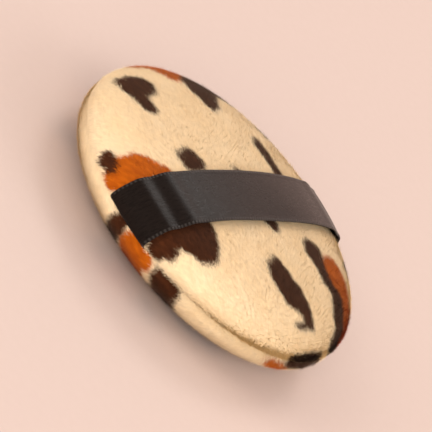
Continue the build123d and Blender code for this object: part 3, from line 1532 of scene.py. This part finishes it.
    def _relief(self, along: np.ndarray, across: np.ndarray, total: float) -> np.ndarray:
        """How far the ribbon stands off its line: bends, crowning and its corded edges.

        Args:
            along: Length from the left end at each point.
            across: Distance from the middle line at each point.
            total: The ribbon's whole length.

        Returns:
            The height outwards at each point.
        """
        edge = np.abs(across) / (self.width / 2)
        crown = self.crowning * (1 - edge ** 2)
        from_cord = (1 - edge) * self.width / 2 - self.selvedge
        cord = self.selvedge_rise * np.exp(-(from_cord / self.selvedge_width) ** 2)
        from_end = np.minimum(along, total - along) / MM
        wave = np.zeros_like(along)
        for bend in self.waves:
            wave += bend.height * MM * np.exp(-((from_end - bend.place) / bend.reach) ** 2)
        wave *= np.where(along < total / 2, 1.0, self.right_share)
        slack = self.slack * np.sin(along / MM / self.slack_along)
        slack *= np.sin(across / MM / self.slack_across + self.slack_start)
        calm = np.clip((from_end - self.calm_end) / self.calm_reach, 0, 1)
        return (crown + wave + slack) * calm + cord

    def _stretch(
        self,
        whole: bpy.types.Object,
        name: str,
        low: float,
        high: float,
        satin: bpy.types.Material,
    ) -> bpy.types.Object:
        """Cut one stretch out of the strip, give it its thickness and dress it.

        Args:
            whole: The whole strip.
            name: The stretch's name.
            low: Its lowest x.
            high: Its highest x.
            satin: The ribbon's material.

        Returns:
            The stretch.
        """
        piece = copy_piece(whole, name)
        make_active(piece)
        for place, keep_right in ((low, True), (high, False)):
            bpy.ops.object.mode_set(mode="EDIT")
            bpy.ops.mesh.select_all(action="SELECT")
            bpy.ops.mesh.bisect(
                plane_co=(place, 0, 0),
                plane_no=(1, 0, 0),
                clear_inner=keep_right,
                clear_outer=not keep_right,
                threshold=1e-7,
            )
            bpy.ops.object.mode_set(mode="OBJECT")
        body = piece.modifiers.new("cloth", "SOLIDIFY")
        body.thickness = self.thickness
        body.offset = 1.0
        apply_modifiers(piece)
        bpy.ops.object.shade_smooth_by_angle(angle=math.radians(self.smooth_angle))
        piece.data.materials.append(satin)
        log.info("%s: %d faces", name, len(piece.data.polygons))
        return piece


# ---------------------------------------------------------------------------------------
# Carried-over pieces and the studio
# ---------------------------------------------------------------------------------------


@dataclass(frozen=True)
class InnerPieces:
    """The CAD pieces inside the puff, which keep their shapes and get fibre and thread."""

    filling: tuple[str, ...] = ("fibre_filling",)
    threads: tuple[str, ...] = (
        "seam_needle_thread",
        "seam_bobbin_thread",
        "left_back_stitches",
        "right_back_stitches",
        "closing_stitches",
    )

    def dress(self) -> None:
        """Give each piece its material."""
        for names, finish in ((self.filling, StapleFibre()), (self.threads, SewingThread())):
            material = finish.material()
            for name in names:
                self._put_on(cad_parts[name], material)
                log.info("%s dressed", name)

    @staticmethod
    def _put_on(node: bpy.types.Object, material: bpy.types.Material) -> None:
        """Put a material in every slot of a node.

        Args:
            node: The CAD node.
            material: Its material.
        """
        for place in node.material_slots:
            place.material = material
        if not node.material_slots:
            node.data.materials.append(material)


@dataclass(frozen=True)
class Lamp:
    """A soft square lamp, and the way to it from the puff."""

    name: str
    toward: tuple[float, float, float]
    size: float
    watts: float
    colour: tuple[float, float, float] = (1.0, 0.96, 0.92)
    mirrored: bool = False


@dataclass
class Studio:
    """Plain pale floor, soft light and the camera."""

    target: Vector
    toward_camera: tuple[float, float, float] = (-0.8499, -0.3226, 0.4167)
    view_up: tuple[float, float, float] = (-0.0253, 0.8148, 0.5792)
    distance: float = 0.95
    span: float = 0.108
    sensor: float = 36.0
    floor_size: float = 24.0
    floor_gap: float = 0.05 * MM
    sky_colour: tuple = (1.0, 0.85, 0.78, 1.0)
    sky_strength: float = 0.88
    lamp_distance: float = 3.5
    lamps: tuple[Lamp, ...] = (
        Lamp("key", (-0.76, 0.52, 0.42), 2.1, 42.0),
        Lamp("fill", (-0.80, -0.42, 0.36), 2.1, 98.0),
        Lamp("side", (0.40, -0.72, 0.42), 2.1, 38.0),
        Lamp("window", (0.60, 0.32, 0.73), 1.25, 29.0, mirrored=True),
        Lamp("rear", (0.93, 0.20, 0.26), 2.2, 9.0, (1.0, 0.42, 0.28), mirrored=True),
    )

    def build(self) -> None:
        """Lay the floor, place the camera and hang the lights."""
        self._floor()
        self._sky()
        self._camera()
        for lamp in self.lamps:
            self._hang(lamp)

    def _floor(self) -> None:
        """A wide pale floor under the puff."""
        clear_selection()
        bpy.ops.mesh.primitive_plane_add(size=self.floor_size, location=(0, 0, -self.floor_gap))
        floor = bpy.context.object
        floor.name = "studio_floor"
        floor.data.materials.append(StudioFloor().material())

    def _sky(self) -> None:
        """Even pale light from all round."""
        world = bpy.data.worlds.new("studio")
        bpy.context.scene.world = world
        world.use_nodes = True
        glow = world.node_tree.nodes["Background"]
        glow.inputs["Color"].default_value = self.sky_colour
        glow.inputs["Strength"].default_value = self.sky_strength

    def _hang(self, lamp: Lamp) -> None:
        """Hang one lamp so that it faces the puff.

        Args:
            lamp: The lamp.
        """
        data = bpy.data.lights.new(lamp.name, "AREA")
        data.size = lamp.size
        data.energy = lamp.watts
        data.color = lamp.colour
        light = bpy.data.objects.new(lamp.name, data)
        place = Vector(lamp.toward).normalized() * self.lamp_distance
        light.location = self.target + place
        light.rotation_mode = "QUATERNION"
        light.rotation_quaternion = (-place).to_track_quat("-Z", "Y")
        light.visible_glossy = lamp.mirrored
        light.visible_camera = False
        bpy.context.collection.objects.link(light)

    def _camera(self) -> None:
        """Place the camera and turn it to the puff."""
        back = Vector(self.toward_camera).normalized()
        up = Vector(self.view_up)
        up = (up - up.dot(back) * back).normalized()
        right = up.cross(back)
        data = bpy.data.cameras.new("camera")
        data.sensor_width = self.sensor
        data.lens = self.sensor * self.distance / self.span
        camera = bpy.data.objects.new("camera", data)
        turn = Matrix((right, up, back)).transposed().to_4x4()
        camera.matrix_world = Matrix.Translation(self.target + back * self.distance) @ turn
        bpy.context.collection.objects.link(camera)
        bpy.context.scene.camera = camera
        bpy.context.scene.view_settings.view_transform = "Standard"


def main() -> None:
    """Build the puff around its frame, then the studio."""
    logging.basicConfig(level=logging.INFO, format="%(name)s: %(message)s")
    upper_low, upper_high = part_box("upper_cover")
    lower_low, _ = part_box("lower_cover")
    radius = (upper_high[0] - upper_low[0]) / 2
    top, seam = upper_high[2], upper_low[2]
    pillow = Pillow(radius, top - seam, seam)
    form = pillow.build()
    for side, spots in ((Side.UPPER, UPPER_PRINT), (Side.LOWER, LOWER_PRINT)):
        cover = PlushCover(side, pillow, AnimalPrint(spots, seed=3.0 * side.value))
        for piece in cover.build(form):
            log.info("%s: %d faces", piece.name, len(piece.data.polygons))
    bpy.data.objects.remove(form)
    crown_low, crown_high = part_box("ribbon_middle")
    _, tail_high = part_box("ribbon_right_tail")
    RibbonStrap(
        width=crown_high[1] - crown_low[1],
        crown_height=crown_high[2] - CAD_RIBBON_THICKNESS - seam - RIBBON_SINK,
        side_reach=tail_high[0] - CAD_RIBBON_THICKNESS - RIBBON_PULL,
        seam_height=seam,
    ).build()
    InnerPieces().dress()
    Studio(target=Vector((0, 0, (lower_low[2] + top) / 2))).build()


if __name__ == "__main__":
    main()
